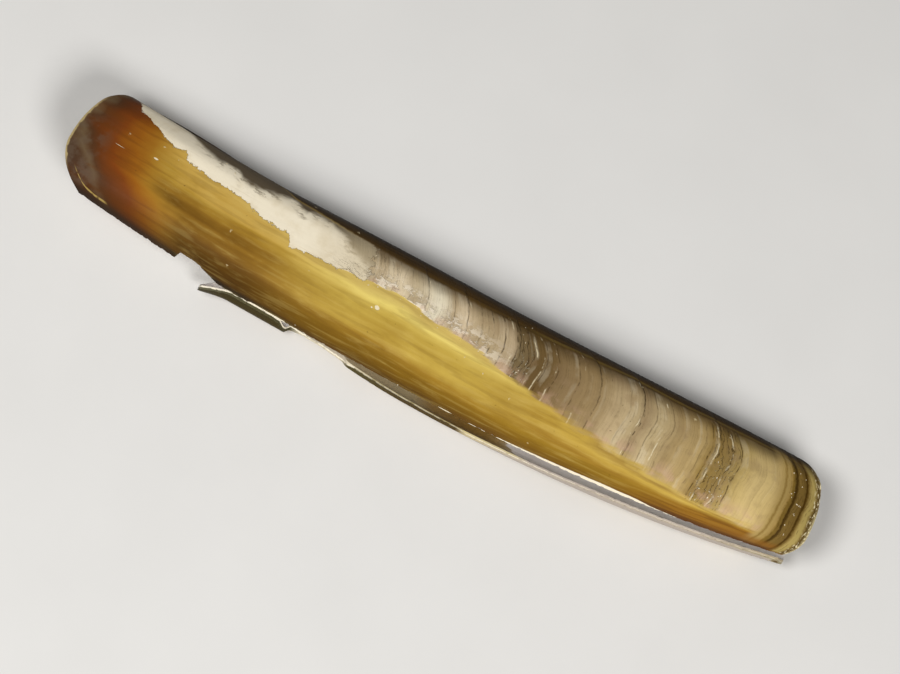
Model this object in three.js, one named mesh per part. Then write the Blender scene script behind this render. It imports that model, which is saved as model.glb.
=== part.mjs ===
// A razor clam shell: two long half-tube valves, still joined at the hinge and gaping along the lower
// margin, lying on the right valve. Millimetres. +X runs from the front (foot) end to the hind (siphon)
// end, +Y towards the hinge, +Z up, and the origin is under the middle of the shell, on the surface.
import * as THREE from 'three';

// The whole shell
const HALF_LENGTH = 75;
const GAPE = THREE.MathUtils.degToRad(8.5); // angle between the two valves
const REST_TILT = THREE.MathUtils.degToRad(2.7); // how far the lower margin of the right valve is raised
const HINGE_Y = 12.34; // the hinge line, beyond the middle of the shell
const HINGE_Z = 6.66; // the hinge line, above the surface
const MARGIN_GAP = 0.3; // between the two hinge margins

// One valve, seen from the side
const HALF_HEIGHT = 12; // hinge margin to centre line, at mid length
const HINGE_OFFSET = 13.35; // centre line at mid length to the straight hinge line
const FRONT_TAPER = { amount: 0.1, power: 1.4 };
const HIND_TAPER = { amount: 0.255, power: 2.8 };
const FRONT_RISE = { height: 2.4, from: 36, run: 32, power: 1.4 };
const HIND_RISE = { height: 3.7, from: 5, run: 63, power: 1.8 };
// Ends: how far the corners are drawn in, the height of the tip (-1 at the lower margin and 1 at the
// hinge margin), the roundness (2 is an ellipse), and the stretch over which an end comes on
const FRONT_END = { upper: 9.1, lower: 6.2, tip: -0.43, roundness: 2.1, from: -75, reach: 35 };
const HIND_END = { upper: 9.9, lower: 2.4, tip: -0.7, roundness: 2.3, from: -40, reach: 50 };

// One valve, in section
const BULGE = 7;
const BULGE_TAPER = { amount: 0.3, power: 5 };
const SQUARENESS = 2.5; // 2 is an ellipse
const WALL = { margin: 0.6, middle: 1.1 };
const RIDGE = { angle: 67.5, width: 11, height: 0.25 }; // low edge between the hinge strip and the side

// Growth stops: low ledges across the upper hind part of the side, each stepping down to the hind
const STOPS = [-5, 3.5, 14, 30, 38.7, 54, 69];
const STOP_HEIGHT = 0.28;
const STOP_RUN = 8;
const STOP_DROP = 0.7;
const BAND_LOWER_EDGE = { at_middle: 105, per_mm: 0.62, fade: 18 }; // degrees round the section

// Broken stretches of the lower margins: place along the shell, then degrees of the section missing
const LEFT_BREAKS = [[-49, 0], [-48.3, 14], [-44.6, 14], [-42.1, 8], [-39.2, 0]];
const RIGHT_BREAKS = [
  [-75, 68], [-72, 64], [-69, 58], [-52, 58], [-49, 67], [-42.6, 67], [-41.5, 24], [-39, 32],
  [-36, 36], [-24, 42], [-22, 50], [-18, 49], [-13.4, 44], [-12, 37], [-6, 29], [0, 22], [20, 6], [40, 0],
];
const RIGHT_HIND_CUT = { at: 73.7, below: -0.35 }; // its lower hind corner is snapped off square

// Hinge ligament
const LIGAMENT = { front: -65, hind: -43, clearance: 0.28, half_thickness: 0.5, half_width: 1.2 };

// Fineness of the facets
const SECTION_STEPS = 16;
const STATION_STEP = 3.4;
const CLOSEST_STATIONS = 1.1;
const LIGAMENT_STEPS = { around: 10, along: 14 };

const smooth = (t) => THREE.MathUtils.smoothstep(t, 0, 1);
const degrees = (radians) => THREE.MathUtils.radToDeg(radians);

function halfHeight(x) {
  const taper = x < 0 ? FRONT_TAPER : HIND_TAPER;
  return HALF_HEIGHT * (1 - taper.amount * Math.abs(x / HALF_LENGTH) ** taper.power);
}

function bulge(x) {
  return BULGE * (1 - BULGE_TAPER.amount * Math.abs(x / HALF_LENGTH) ** BULGE_TAPER.power);
}

// The centre line of a valve curves towards the hinge at both ends
function centreLine(x) {
  const rise = x < 0 ? FRONT_RISE : HIND_RISE;
  const along = Math.max(Math.abs(x) - rise.from, 0) / rise.run;
  return rise.height * along ** rise.power;
}

const hingeMargin = (x) => centreLine(x) + halfHeight(x) - HINGE_OFFSET;

// Section: angle 0 is the hinge margin, PI the lower margin
function section(angle) {
  const power = 2 / SQUARENESS;
  const up = Math.cos(angle);
  return { up: Math.sign(up) * Math.abs(up) ** power, out: Math.max(Math.sin(angle), 0) ** power };
}

// How far an end is drawn in at one height of the section: nothing at its tip, all at the margins
function drawnIn(end, up) {
  const upper = up > end.tip;
  const reach = upper ? (up - end.tip) / (1 - end.tip) : (end.tip - up) / (1 + end.tip);
  const left = Math.max(1 - reach ** end.roundness, 0);
  return (upper ? end.upper : end.lower) * (1 - left ** (1 / end.roundness));
}

// Station lines follow the growth lines: parallel to the rounded front end, then to the hind end
function lengthwise(station, up) {
  const front = 1 - smooth((station - FRONT_END.from) / FRONT_END.reach);
  const hind = smooth((station - HIND_END.from) / HIND_END.reach);
  return station + front * drawnIn(FRONT_END, up) - hind * drawnIn(HIND_END, up);
}

function missing(breaks, x) {
  const next = breaks.findIndex(([place]) => place > x);
  if (next < 1) return 0;
  const [[x0, lost0], [x1, lost1]] = breaks.slice(next - 1, next + 1);
  return THREE.MathUtils.degToRad(THREE.MathUtils.mapLinear(x, x0, x1, lost0, lost1));
}

// Relief of the outside: growth ledges and the edge of the hinge strip
function relief(station, angle) {
  const lowerEdge = BAND_LOWER_EDGE.at_middle + BAND_LOWER_EDGE.per_mm * station;
  const inBands = 1 - smooth((degrees(angle) - lowerEdge) / BAND_LOWER_EDGE.fade);
  const offMargin = smooth(degrees(angle) / RIDGE.width);
  let height = 0;
  for (const stop of STOPS) {
    const before = stop - station;
    if (before >= 0 && before < STOP_RUN) height += STOP_HEIGHT * (1 - before / STOP_RUN);
  }
  const fromRidge = (degrees(angle) - RIDGE.angle) / RIDGE.width;
  return height * inBands * offMargin + RIDGE.height * Math.exp(-fromRidge * fromRidge);
}

function stationsFor(breaks) {
  const count = Math.round((2 * HALF_LENGTH) / STATION_STEP);
  const wanted = [-HALF_LENGTH, HALF_LENGTH];
  wanted.push(...STOPS, ...STOPS.map((stop) => stop + STOP_DROP), ...breaks.map(([place]) => place));
  for (let i = 1; i < count; i++) {
    const station = -HALF_LENGTH + (2 * HALF_LENGTH * i) / count;
    if (wanted.every((other) => Math.abs(other - station) > CLOSEST_STATIONS)) wanted.push(station);
  }
  return [...new Set(wanted)].sort((a, b) => a - b);
}

// A valve in its own frame: x along the shell, y from the hinge line, z outwards times side
function valveGeometry(side, breaks, hindCut = { at: Infinity, below: -1 }) {
  const stations = stationsFor(breaks);
  const positions = [];
  const indices = [];

  function addPoint(station, angle, inset, raised) {
    const { up, out } = section(angle);
    const x = Math.min(lengthwise(station, up), up < hindCut.below ? hindCut.at : Infinity);
    const y = centreLine(x) - HINGE_OFFSET + (halfHeight(x) - inset + raised) * up;
    const z = (bulge(x) - inset + raised) * out + MARGIN_GAP / 2;
    positions.push(x, y, side * z);
  }

  for (const inner of [false, true]) {
    for (const station of stations) {
      const lastAngle = Math.PI - missing(breaks, station);
      for (let j = 0; j <= SECTION_STEPS; j++) {
        const angle = (lastAngle * j) / SECTION_STEPS;
        const wall = THREE.MathUtils.lerp(WALL.margin, WALL.middle, Math.sin(angle));
        addPoint(station, angle, inner ? wall : 0, inner ? 0 : relief(station, angle));
      }
    }
  }

  const row = SECTION_STEPS + 1;
  const last = stations.length - 1;
  const outside = (i, j) => i * row + j;
  const inside = (i, j) => (stations.length + i) * row + j;
  function quad(a, b, c, d) {
    if (side > 0) indices.push(a, b, c, a, c, d);
    else indices.push(a, c, b, a, d, c);
  }
  for (let i = 0; i < last; i++) {
    for (let j = 0; j < SECTION_STEPS; j++) {
      quad(outside(i, j), outside(i, j + 1), outside(i + 1, j + 1), outside(i + 1, j));
      quad(inside(i, j), inside(i + 1, j), inside(i + 1, j + 1), inside(i, j + 1));
    }
    quad(outside(i, 0), outside(i + 1, 0), inside(i + 1, 0), inside(i, 0));
    quad(outside(i + 1, row - 1), outside(i, row - 1), inside(i, row - 1), inside(i + 1, row - 1));
  }
  for (let j = 0; j < SECTION_STEPS; j++) {
    quad(outside(0, j + 1), outside(0, j), inside(0, j), inside(0, j + 1));
    quad(outside(last, j), outside(last, j + 1), inside(last, j + 1), inside(last, j));
  }

  const geometry = new THREE.BufferGeometry();
  geometry.setAttribute('position', new THREE.Float32BufferAttribute(positions, 3));
  geometry.setIndex(indices);
  geometry.computeVertexNormals();
  return geometry;
}

// A low spindle that lies along the two hinge margins, just outside them
function ligamentGeometry() {
  const geometry = new THREE.SphereGeometry(1, LIGAMENT_STEPS.around, LIGAMENT_STEPS.along);
  geometry.rotateZ(Math.PI / 2);
  const middle = (LIGAMENT.front + LIGAMENT.hind) / 2;
  const halfLength = (LIGAMENT.hind - LIGAMENT.front) / 2;
  geometry.scale(halfLength, LIGAMENT.half_thickness, LIGAMENT.half_width);
  geometry.translate(middle, LIGAMENT.clearance + LIGAMENT.half_thickness, 0);
  const position = geometry.getAttribute('position');
  for (let i = 0; i < position.count; i++) {
    position.setY(i, position.getY(i) + hingeMargin(position.getX(i)));
  }
  geometry.computeVertexNormals();
  return geometry;
}

// The lowest strip of the right valve is worn flat where it rests
function wearFlat(mesh) {
  mesh.updateWorldMatrix(true, false);
  const toLocal = mesh.matrixWorld.clone().invert();
  const position = mesh.geometry.getAttribute('position');
  const point = new THREE.Vector3();
  for (let i = 0; i < position.count; i++) {
    point.fromBufferAttribute(position, i).applyMatrix4(mesh.matrixWorld);
    point.z = Math.max(point.z, 0);
    point.applyMatrix4(toLocal);
    position.setXYZ(i, point.x, point.y, point.z);
  }
}

const periostracum = new THREE.MeshStandardMaterial({ color: 0xa88233, roughness: 0.4, metalness: 0 });
const wornPeriostracum = new THREE.MeshStandardMaterial({ color: 0x8f6f30, roughness: 0.5, metalness: 0 });
const driedLigament = new THREE.MeshStandardMaterial({ color: 0x2e1c10, roughness: 0.6, metalness: 0 });

const leftValve = new THREE.Mesh(valveGeometry(1, LEFT_BREAKS), periostracum);
leftValve.name = 'left_valve';
leftValve.rotation.x = -GAPE;

const rightValve = new THREE.Mesh(valveGeometry(-1, RIGHT_BREAKS, RIGHT_HIND_CUT), wornPeriostracum);
rightValve.name = 'right_valve';

const ligament = new THREE.Mesh(ligamentGeometry(), driedLigament);
ligament.name = 'hinge_ligament';
ligament.rotation.x = -GAPE / 2;

const hinge = new THREE.Group();
hinge.position.set(0, HINGE_Y, HINGE_Z);
hinge.rotation.x = -REST_TILT;
hinge.add(leftValve, rightValve, ligament);

const shell = new THREE.Group();
shell.add(hinge);
wearFlat(rightValve);

export default shell;
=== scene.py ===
import math

import bpy
from mathutils import Matrix, Vector


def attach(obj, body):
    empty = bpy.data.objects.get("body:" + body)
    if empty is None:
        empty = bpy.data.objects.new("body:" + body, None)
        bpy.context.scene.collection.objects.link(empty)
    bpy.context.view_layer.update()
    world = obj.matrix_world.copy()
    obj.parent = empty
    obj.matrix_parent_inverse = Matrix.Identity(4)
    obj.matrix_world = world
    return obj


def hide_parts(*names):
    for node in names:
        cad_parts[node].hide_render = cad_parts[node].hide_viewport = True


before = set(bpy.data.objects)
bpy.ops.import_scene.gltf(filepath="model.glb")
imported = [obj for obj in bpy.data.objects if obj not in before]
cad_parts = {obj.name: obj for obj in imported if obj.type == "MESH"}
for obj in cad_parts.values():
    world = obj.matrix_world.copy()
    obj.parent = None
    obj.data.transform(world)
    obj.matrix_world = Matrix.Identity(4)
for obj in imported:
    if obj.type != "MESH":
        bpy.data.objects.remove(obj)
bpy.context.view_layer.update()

# Left valve
# The upper half of a razor clam shell: one long, thin, half-tube wall of lime under a horny skin. It grew
# at its margin, from the front (-X) towards the hind end (+X), and is hung on the other half by the
# ligament at its hinge margin, along +Y, so that it gapes below.

# Sizes are in millimetres. "around" goes in degrees from the hinge margin, 0, to the lower margin.
MM = 0.001
LOWER_MARGIN = 180.0
VALVE = {
    "Half length": 75.0,
    "Half height": 12.0,
    "Hinge offset": 13.35,
    "Bulge": 7.0,
    "Squareness": 2.5,
    "Wall at the margins": 0.6,
    "Wall at the middle": 1.1,
    "Margin gap": 0.3,
    "Hinge line Y": 12.34,
    "Hinge line Z": 6.66,
    "Stations": 640,
    "Steps round": 74,
}
REST_TILT = math.radians(2.7)
GAPE = math.radians(8.5)
FRONT_TAPER = {"amount": 0.1, "power": 1.4}
HIND_TAPER = {"amount": 0.255, "power": 2.8}
BULGE_TAPER = {"amount": 0.3, "power": 5}
FRONT_RISE = {"height": 2.4, "from": 36, "run": 32, "power": 1.4}
HIND_RISE = {"height": 3.7, "from": 5, "run": 63, "power": 1.8}
FRONT_END = {"upper": 9.1, "lower": 6.2, "tip": -0.43, "roundness": 2.1, "from": -75, "reach": 35}
HIND_END = {"upper": 9.9, "lower": 2.4, "tip": -0.7, "roundness": 2.3, "from": -40, "reach": 50}
# how much of the section is gone at the lower margin, in degrees, along the shell, and how deep its
# chips go, in degrees too
LEFT_BREAKS = [(-75, 0), (-49, 0), (-48.3, 14), (-44.6, 14), (-42.1, 8), (-39.2, 0), (75, 0)]
CHIPS = {"depth": 5, "per mm": 0.7}
# points of the grid that are nearer than this are one, and steeper edges than this stay sharp
SAME_PLACE = 1e-5
SHARP_ABOVE = math.radians(50)

# what each point of a wall carries for its finish: place along the shell, degrees round, the place of its
# wavering growth line, and depth through the wall from its outside, 0, to its inside, 1
CARRIED = ["along", "around", "growth", "inside"]

# where the glossy skin ends against the banded upper part, in degrees round, along the shell
SKIN_EDGE = [
    (-75, 52), (-69, 49), (-62, 63), (-57, 68), (-50, 76), (-41, 82), (-34, 87), (-26, 94), (-17, 92),
    (-9, 87), (-2, 94), (6, 98), (14, 107), (23, 114), (39, 127), (47, 133), (56, 141), (66, 146), (75, 149),
]
# growth stops: low ledges, where growth lines bow most, and the crackled ones by place, reach and height
GROWTH_LEDGES = [-5, 3.5, 14, 30, 38.7, 54, 69]
LEDGE = {"height": 0.28, "run": 8}
GROWTH_BOW = {"around": 81.0, "width": 21.0, "depth": 1.15}
ROUGH_STOPS = [(15.2, 1.9, 0.16), (55.3, 3.4, 0.16), (70.5, 2.4, 0.1), (-13, 4, 0.08)]
# the low ridge that runs beside the hinge strip
HINGE_RIDGE = {"around": 63.5, "width": 10, "height": 0.25}
# peeling scraps: how many on a square metre, how far each leans in radians, and half sizes in metres
SCRAPS = {
    "most": 8e5, "least": 2e3, "tilt": 0.3,
    "smallest": (0.00007, 0.00005, 0.00002), "largest": (0.0003, 0.00013, 0.00006),
}


class Field:
    """A value that nodes work out at each point of a surface, so that a formula can be written out."""

    def __init__(self, socket):
        self.socket = socket
        self.tree = socket.id_data

    def of(self, operation, *others):
        return node(self.tree, "ShaderNodeMath", self, *others, operation=operation)

    def __add__(self, other):
        return self.of("ADD", other)

    def __sub__(self, other):
        return self.of("SUBTRACT", other)

    def __rsub__(self, other):
        return node(self.tree, "ShaderNodeMath", other, self, operation="SUBTRACT")

    def __mul__(self, other):
        return self.of("MULTIPLY", other)

    def __truediv__(self, other):
        return self.of("DIVIDE", other)

    def __rtruediv__(self, other):
        return node(self.tree, "ShaderNodeMath", other, self, operation="DIVIDE")

    def __pow__(self, power):
        return self.of("POWER", power)

    def __gt__(self, other):
        return self.of("GREATER_THAN", other)

    def __lt__(self, other):
        return self.of("LESS_THAN", other)

    def __abs__(self):
        return self.of("ABSOLUTE")

    __radd__ = __add__
    __rmul__ = __mul__

    def step(self, low, high):
        """0 below low and 1 above high, smooth between; low may be the greater of the two."""
        limits = (low, high, 0.0, 1.0)
        return node(self.tree, "ShaderNodeMapRange", self, *limits, interpolation_type="SMOOTHSTEP")

    def other(self, name):
        return Field(self.socket.node.outputs[name])

    def fill(self, **named):
        put(self.socket.node, **named)
        return self


def put(made, *values, **named):
    """Fills a node's inputs, in order and then by name, with plain values or with fields."""
    by_name = [(made.inputs[name], value) for name, value in named.items()]
    for socket, value in [*zip(made.inputs, values), *by_name]:
        if isinstance(value, Field):
            made.id_data.links.new(value.socket, socket)
        elif value is not None:
            socket.default_value = value


def node(tree, kind, *values, out=0, **settings):
    made = tree.nodes.new(kind)
    for key, value in settings.items():
        setattr(made, key, value)
    put(made, *values)
    return Field(made.outputs[out])


def tree_of(*values):
    return next(value for value in values if isinstance(value, Field)).tree


def point(x, y, z):
    return node(tree_of(x, y, z), "ShaderNodeCombineXYZ", x, y, z)


def in_mm(place):
    return node(place.tree, "ShaderNodeVectorMath", place, operation="SCALE").fill(Scale=1 / MM)


def joined(tree, *parts):
    made = tree.nodes.new("GeometryNodeJoinGeometry")
    for part in parts:
        tree.links.new(part.socket, made.inputs[0])
    return Field(made.outputs[0])


def noise(where, per_unit, detail=2.0, roughness=0.5, kind="3D"):
    """Smooth random values from 0 to 1, mostly near the middle; per_unit waves to a unit of where."""
    made = node(where.tree, "ShaderNodeTexNoise", noise_dimensions=kind)
    made.fill(**{"W" if kind == "1D" else "Vector": where})
    return made.fill(Scale=per_unit, Detail=detail, Roughness=roughness)


def drawn_line(along, points, top=LOWER_MARGIN):
    """A line drawn through (place along the shell, height from 0 to top), read at each point of the wall."""
    made = along.tree.nodes.new("ShaderNodeFloatCurve")
    line = made.mapping.curves[0]
    length = 2 * VALVE["Half length"]
    places = [((x + VALVE["Half length"]) / length, y / top) for x, y in points]
    line.points[0].location, line.points[1].location = places[0], places[-1]
    for place in places[1:-1]:
        line.points.new(*place)
    for knot in line.points:
        knot.handle_type = "VECTOR"
    made.mapping.update()
    put(made, 1.0, along / length + 0.5)
    return Field(made.outputs[0]) * top


def start_tree(name, sizes):
    """A geometry tree with one named input for each size, and those inputs as fields."""
    tree = bpy.data.node_groups.new(name, "GeometryNodeTree")
    tree.interface.new_socket("Geometry", in_out="OUTPUT", socket_type="NodeSocketGeometry")
    for label, value in sizes.items():
        kind = "Int" if isinstance(value, int) else "Float" if isinstance(value, float) else "Material"
        tree.interface.new_socket(label, in_out="INPUT", socket_type="NodeSocket" + kind)
    given = tree.nodes.new("NodeGroupInput")
    return tree, {label: Field(given.outputs[label]) for label in sizes}


def end_group(tree, *values):
    put(tree.nodes.new("NodeGroupOutput"), *values)
    return tree


def in_scene(name, data):
    made = bpy.data.objects.new(name, data)
    bpy.context.scene.collection.objects.link(made)
    return made


def grow(name, tree, sizes):
    """Runs a geometry tree once with its sizes, and keeps what it makes as a plain mesh."""
    piece = in_scene(name, bpy.data.meshes.new(name))
    modifier = piece.modifiers.new(name, "NODES")
    modifier.node_group = tree
    for item in tree.interface.items_tree:
        if item.in_out == "INPUT":
            modifier[item.identifier] = sizes[item.name]
    evaluated = piece.evaluated_get(bpy.context.evaluated_depsgraph_get())
    mesh = bpy.data.meshes.new_from_object(evaluated)
    piece.modifiers.clear()
    piece.data = mesh
    mesh.set_sharp_from_angle(angle=SHARP_ABOVE)
    return piece


def end_drawn_in(end, up):
    """How far an end is drawn in at one height of the section."""
    upper = (up - end["tip"]).of("MAXIMUM", 0.0) / (1 - end["tip"])
    lower = (end["tip"] - up).of("MAXIMUM", 0.0) / (1 + end["tip"])

    def quarter(reach):
        return 1.0 - (1.0 - reach ** end["roundness"]).of("MAXIMUM", 0.0) ** (1 / end["roundness"])

    return quarter(upper) * end["upper"] + quarter(lower) * end["lower"]


def growth_relief(along, around, place, seed):
    """The wavering growth lines, and the relief that stands on the smooth wall, in mm."""
    wobble = (noise(place, 0.12) - 0.5) * 1.8 + (noise(place, 0.9) - 0.5) * 0.4
    from_bow = (around - GROWTH_BOW["around"]) / GROWTH_BOW["width"]
    growth = along + wobble - (from_bow * from_bow * -1.0).of("EXPONENT") * GROWTH_BOW["depth"]
    skin_edge = drawn_line(along, SKIN_EDGE)
    banded = (around - skin_edge).step(4.0, -4.0) * around.step(36.0, 64.0)
    ledges = 0.0
    for stop in GROWTH_LEDGES:
        before = stop - growth
        ledges = ledges + (1.0 - before / LEDGE["run"]) * (before > 0.0) * (before < LEDGE["run"])
    ridges = noise(growth + seed, 0.85, detail=3.0, kind="1D").step(0.35, 0.65)
    rough = 0.0
    for stop, reach, height in ROUGH_STOPS:
        rough = rough + abs(growth - stop).step(reach, 0.0) * height
    crackle = noise(point(growth * 3.0, around * 0.12, seed), 1.0, detail=3.0, roughness=0.6)
    hind_rim = growth.step(66.0, 71.0)
    waves = noise(point(along * 0.03, around * 0.045, seed), 1.0)
    ridge = (around - HINGE_RIDGE["around"]) / HINGE_RIDGE["width"]
    hinge_ridge = (ridge * ridge * -1.0).of("EXPONENT") * HINGE_RIDGE["height"]
    return growth, (
        ledges * LEDGE["height"] * banded
        + ridges * (banded * 0.05 + hind_rim * 0.05)
        + rough * crackle * banded
        + waves * 0.12
        + hinge_ridge
    )


def squared_section(across_grid, along, given, breaks):
    """A squared ellipse, walked round evenly and short of the broken margin: height, reach out, degrees."""
    power = 2.0 / given["Squareness"]
    chipped = noise(along + given["Seed"], CHIPS["per mm"], detail=4.0, kind="1D") - 0.5
    lost = drawn_line(along, breaks) + chipped.of("MAXIMUM", 0.0) * CHIPS["depth"]
    last = (LOWER_MARGIN - lost) * math.radians(1)
    last_up = last.of("COSINE")
    last_up = last_up.of("SIGN") * abs(last_up) ** power
    last_out = last.of("SINE").of("MAXIMUM", 0.0) ** power
    turn = across_grid * last_out.of("ARCTAN2", last_up)
    cosine, sine = turn.of("COSINE"), turn.of("SINE").of("MAXIMUM", 0.0)
    size = abs(cosine) ** given["Squareness"] + sine ** given["Squareness"]
    size = size ** (1.0 / given["Squareness"])
    return cosine / size, sine / size, turn * math.degrees(1)


def bent_flap(flap, along, around):
    """How far a splinter of the broken margin leans forward, and how far it is pushed in, in mm."""
    leaning = along.step(flap["from"], flap["full"]) * along.step(flap["until"], flap["full"])
    forward = leaning * around.step(flap["above"], flap["whole"]) * flap["forward"]
    pushed_in = drawn_line(along, flap["pushed in"], top=3)
    pushed_in = pushed_in * around.step(flap["pushed above"], flap["pushed whole"])
    at_tip = along.step(flap["until tip"], flap["full"]) * along.step(flap["before tip"], flap["full"])
    sprung = at_tip * around.step(flap["sprung above"], flap["sprung whole"]) * flap["sprung out"]
    return forward, pushed_in - sprung


def peeling_scraps(given, wall):
    """Scraps of skin that stand along the growth stops and where the skin ends."""
    tree = wall.tree
    along, around, _growth, inside = (
        node(tree, "GeometryNodeInputNamedAttribute", label, data_type="FLOAT") for label in CARRIED
    )
    below_edge = around - drawn_line(along, SKIN_EDGE)
    thickly = abs(below_edge).step(14.0, 2.0) * along.step(-18.0, -13.0) * along.step(14.0, 8.0)
    for stop, reach, _height in ROUGH_STOPS:
        thickly = thickly + abs(along - stop).step(reach, 0.5) * below_edge.step(3.0, -3.0) * 0.6
    patchy = noise(in_mm(node(tree, "GeometryNodeInputPosition")), 0.5).step(0.5, 0.62)
    density = thickly * patchy * around.step(50.0, 66.0) * SCRAPS["most"] + SCRAPS["least"]
    scattered = node(tree, "GeometryNodeDistributePointsOnFaces", wall, distribute_method="RANDOM")
    scattered.fill(Density=density * given["Flakes"], Selection=inside < 0.1, Seed=given["Seed"].of("FLOOR"))
    scrap = node(tree, "GeometryNodeMeshIcoSphere", 1.0, 1)
    scrap = node(tree, "GeometryNodeSetMaterial", scrap, None, given["Scrap"])
    tilt = SCRAPS["tilt"]
    spin = node(tree, "FunctionNodeRandomValue", data_type="FLOAT_VECTOR")
    put(spin.socket.node, (-tilt, -tilt, 0.0), (tilt, tilt, math.tau))
    leaning = scattered.other("Rotation")
    turned = node(tree, "FunctionNodeRotateRotation", leaning, spin, rotation_space="LOCAL")
    size = node(tree, "FunctionNodeRandomValue", data_type="FLOAT_VECTOR")
    put(size.socket.node, SCRAPS["smallest"], SCRAPS["largest"])
    placed = node(tree, "GeometryNodeInstanceOnPoints", scattered, None, scrap)
    return node(tree, "GeometryNodeRealizeInstances", placed.fill(Rotation=turned, Scale=size))


def valve_tree(name, sizes, breaks, hind_cut=None, flap=None):
    """The whole wall of one valve: outside, inside and the margins between, then its peeling scraps."""
    tree, given = start_tree(name, sizes)
    grid = node(tree, "GeometryNodeMeshGrid", 1.0, 1.0, given["Stations"], given["Steps round"])
    up_axis = node(tree, "ShaderNodeCombineXYZ", 0.0, 0.0, 1.0)
    wall = node(tree, "GeometryNodeExtrudeMesh", grid, None, up_axis, 1.0, False, mode="FACES")
    wall_inside = node(tree, "GeometryNodeSetMaterial", wall, wall.other("Top"), given["Inside"])
    wall_edges = node(tree, "GeometryNodeSetMaterial", wall_inside, wall.other("Side"), given["Edge"])
    outside = node(tree, "GeometryNodeSetMaterial", grid, None, given["Outside"])
    outside = node(tree, "GeometryNodeFlipFaces", outside)

    # the growth lines follow the rounded front end, then the hind end
    parts = node(tree, "ShaderNodeSeparateXYZ", node(tree, "GeometryNodeInputPosition"))
    across_grid, inner = parts.other("Y") + 0.5, parts.other("Z")
    along = parts * 2.0 * given["Half length"]
    up, out, around = squared_section(across_grid, along, given, breaks)
    front = (along - FRONT_END["from"]).step(FRONT_END["reach"], 0.0)
    hind = (along - HIND_END["from"]).step(0.0, HIND_END["reach"])
    x = along + front * end_drawn_in(FRONT_END, up) - hind * end_drawn_in(HIND_END, up)
    if hind_cut is not None:
        x = x - (x - hind_cut["at"]).of("MAXIMUM", 0.0) * (up < hind_cut["below"])
    pushed_in = 0.0
    if flap is not None:
        forward, pushed_in = bent_flap(flap, along, around)
        x = x - forward

    # height, bulge and middle line change along the shell
    to_front, to_hind = (x * -1.0).of("MAXIMUM", 0.0), x.of("MAXIMUM", 0.0)
    full = given["Half length"]
    half_height = given["Half height"] * (
        1.0
        - (to_front / full) ** FRONT_TAPER["power"] * FRONT_TAPER["amount"]
        - (to_hind / full) ** HIND_TAPER["power"] * HIND_TAPER["amount"]
    )
    bulge = given["Bulge"] * (1.0 - (abs(x) / full) ** BULGE_TAPER["power"] * BULGE_TAPER["amount"])
    centre = given["Hinge offset"] * -1.0
    for distance, rise in ((to_front, FRONT_RISE), (to_hind, HIND_RISE)):
        risen = (distance - rise["from"]).of("MAXIMUM", 0.0) / rise["run"]
        centre = centre + risen ** rise["power"] * rise["height"]

    # the wall's thickness and relief
    at_margins = given["Wall at the margins"]
    thick = at_margins + (given["Wall at the middle"] - at_margins) * out ** (given["Squareness"] / 2.0)
    smooth_place = point(x, centre + half_height * up, bulge * out)
    growth, relief = growth_relief(along, around, smooth_place, given["Seed"])
    lift = relief * (1.0 - inner) - thick * inner
    y = centre + (half_height + lift) * up + pushed_in
    z = ((bulge + lift) * out + given["Margin gap"] / 2.0) * given["Side"]

    # hung on the hinge line, tilted, and worn flat where the shell rests
    cosine, sine = given["Turn"].of("COSINE"), given["Turn"].of("SINE")
    lying_y = given["Hinge line Y"] + y * cosine + z * sine
    lying_z = (given["Hinge line Z"] - y * sine + z * cosine).of("MAXIMUM", 0.0)
    lying = point(x * MM, lying_y * MM, lying_z * MM)

    # one closed wall that carries its measurements; mirroring turns its faces over, so they are turned back
    closed = node(tree, "GeometryNodeMergeByDistance", joined(tree, wall_edges, outside), None, SAME_PLACE)
    for label, value in zip(CARRIED, (along, around, growth, inner)):
        closed = node(tree, "GeometryNodeStoreNamedAttribute", closed, data_type="FLOAT", domain="POINT")
        closed.fill(Name=label, Value=value)
    shaped = node(tree, "GeometryNodeSetPosition", closed, None, lying)
    mirrored = node(tree, "GeometryNodeFlipFaces", shaped)
    chosen = node(tree, "GeometryNodeSwitch", given["Side"] < 0.0, shaped, mirrored, input_type="GEOMETRY")
    whole = joined(tree, peeling_scraps(given, chosen), chosen)
    smooth = node(tree, "GeometryNodeSetShadeSmooth", whole, None, True)
    return end_group(tree, smooth)


# The wall is lime, white where it is bare. A thin horny skin covers it: glossy golden-olive on the lower
# part, thin and dull over the growth bands of the upper part, and dark brown beside the hinge.


def srgb(red, green, blue):
    """A colour as seen on a screen, 0 to 255, as the linear colour that nodes use."""
    channels = [c / 255 for c in (red, green, blue)]
    return (*(c / 12.92 if c <= 0.04045 else ((c + 0.055) / 1.055) ** 2.4 for c in channels), 1.0)


def over(under, cover, amount):
    """cover laid over under by amount; each of the two is a colour, 0 to 255, or a field."""
    under, cover = (part if isinstance(part, Field) else srgb(*part) for part in (under, cover))
    not_for_colours = [None] * 5
    return node(
        amount.tree, "ShaderNodeMix", amount, *not_for_colours, under, cover, out=2, data_type="RGBA"
    )


def ramp(value, low, high, stops):
    """Colours at places from low to high, blended between."""
    made = value.tree.nodes.new("ShaderNodeValToRGB")
    elements = made.color_ramp.elements
    elements.remove(elements[1])
    elements[0].position, elements[0].color = (stops[0][0] - low) / (high - low), srgb(*stops[0][1])
    for place, colour in stops[1:]:
        elements.new((place - low) / (high - low)).color = srgb(*colour)
    put(made, (value - low) / (high - low))
    return Field(made.outputs[0])


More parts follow.
